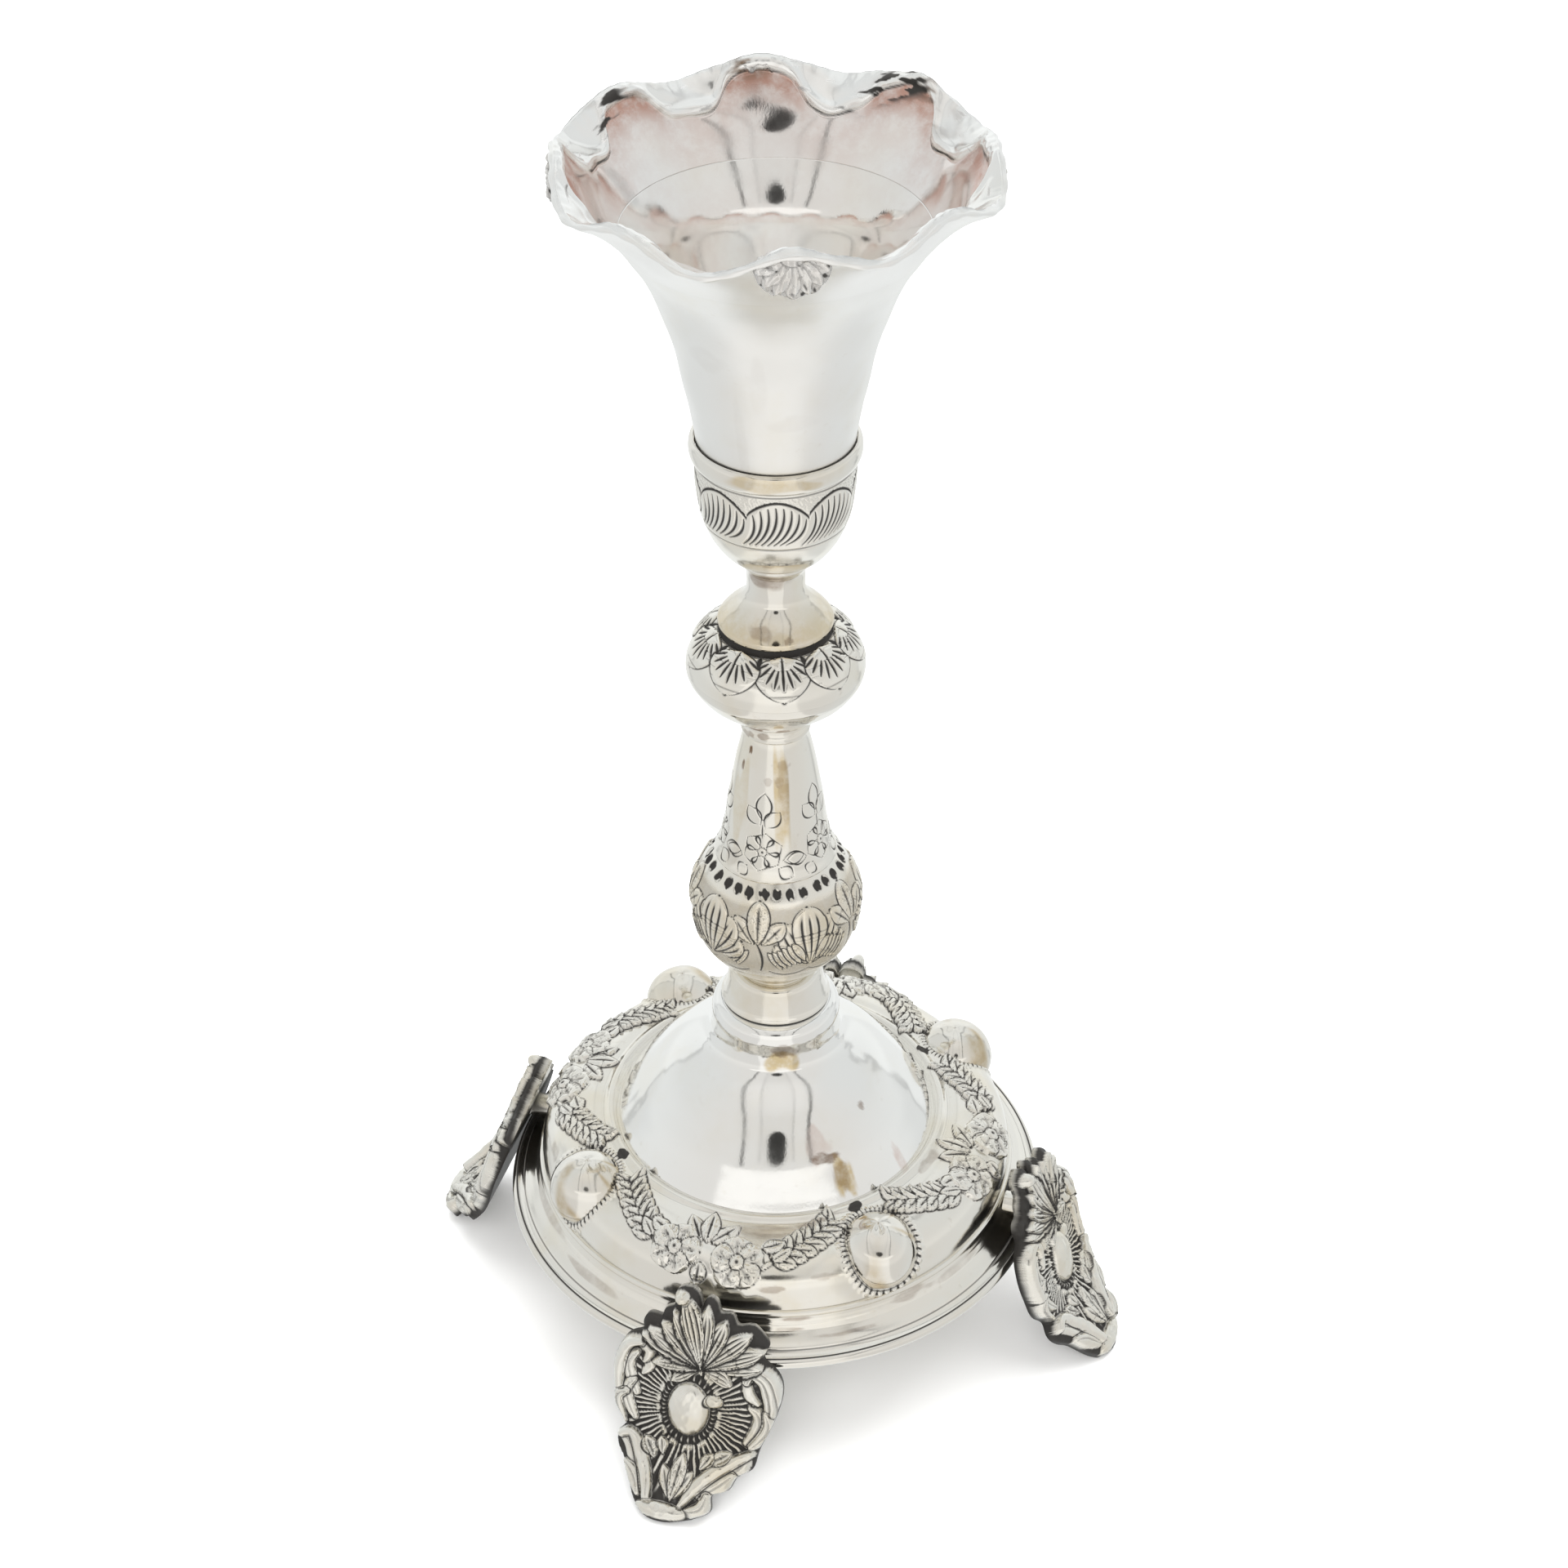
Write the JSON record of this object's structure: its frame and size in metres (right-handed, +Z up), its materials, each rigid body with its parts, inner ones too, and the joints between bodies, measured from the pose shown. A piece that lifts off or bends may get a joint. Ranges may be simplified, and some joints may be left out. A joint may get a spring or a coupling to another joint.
{
  "type": "candlestick",
  "caption": "Silver candlestick: ruffled lift-out trumpet nozzle in a chased cup, knopped stem, domed base with bosses and garlands, and cast scroll feet.",
  "frame": {"origin": "on the table, on the stand's axis, midway between the feet", "axes": "+Z up along the stand and the candle; -Y towards foot 1, the front foot"},
  "size_m": [0.1576, 0.1576, 0.2734],
  "materials": {
    "polished_silver": "mirror polished, lightly tarnished",
    "chased_silver": "polished with dark oxidised recesses",
    "cast_silver": "cast relief, worn bright on the high points and black in the recesses",
    "rod_steel": "plain turned steel",
    "nut_brass": "plain turned brass"
  },
  "bodies": {
    "stand": {"cup_lip": "polished_silver", "candle_cup": "chased_silver", "top_nut": "nut_brass", "neck": "polished_silver", "leaf_knop_top": "chased_silver", "leaf_knop_bottom": "polished_silver", "knop_collar": "polished_silver", "stem": "chased_silver", "bulb_top": "chased_silver", "bulb_bottom": "chased_silver", "bulb_bead": "polished_silver", "base_spool": "polished_silver", "base_dome": "polished_silver", "base_shoulder": "chased_silver", "base_skirt": "polished_silver", "rim_wire": "polished_silver", "boss_1": "polished_silver", "boss_2": "polished_silver", "boss_3": "polished_silver", "boss_4": "polished_silver", "foot_1": "cast_silver", "foot_2": "cast_silver", "foot_3": "cast_silver", "foot_4": "cast_silver", "foot_lug_1": "cast_silver", "foot_lug_2": "cast_silver", "foot_lug_3": "cast_silver", "foot_lug_4": "cast_silver", "tie_rod": "rod_steel", "spreader_washer": "rod_steel", "bottom_nut": "nut_brass"},
    "nozzle": {"nozzle_trumpet": "polished_silver", "nozzle_rim": "cast_silver", "candle_socket": "polished_silver", "socket_floor": "polished_silver"}
  },
  "joints": [
    {"name": "nozzle_lift", "type": "slide", "parent": "stand", "child": "nozzle", "axis": [0, 0, 1], "range_m": [0, 0.045]}
  ]
}
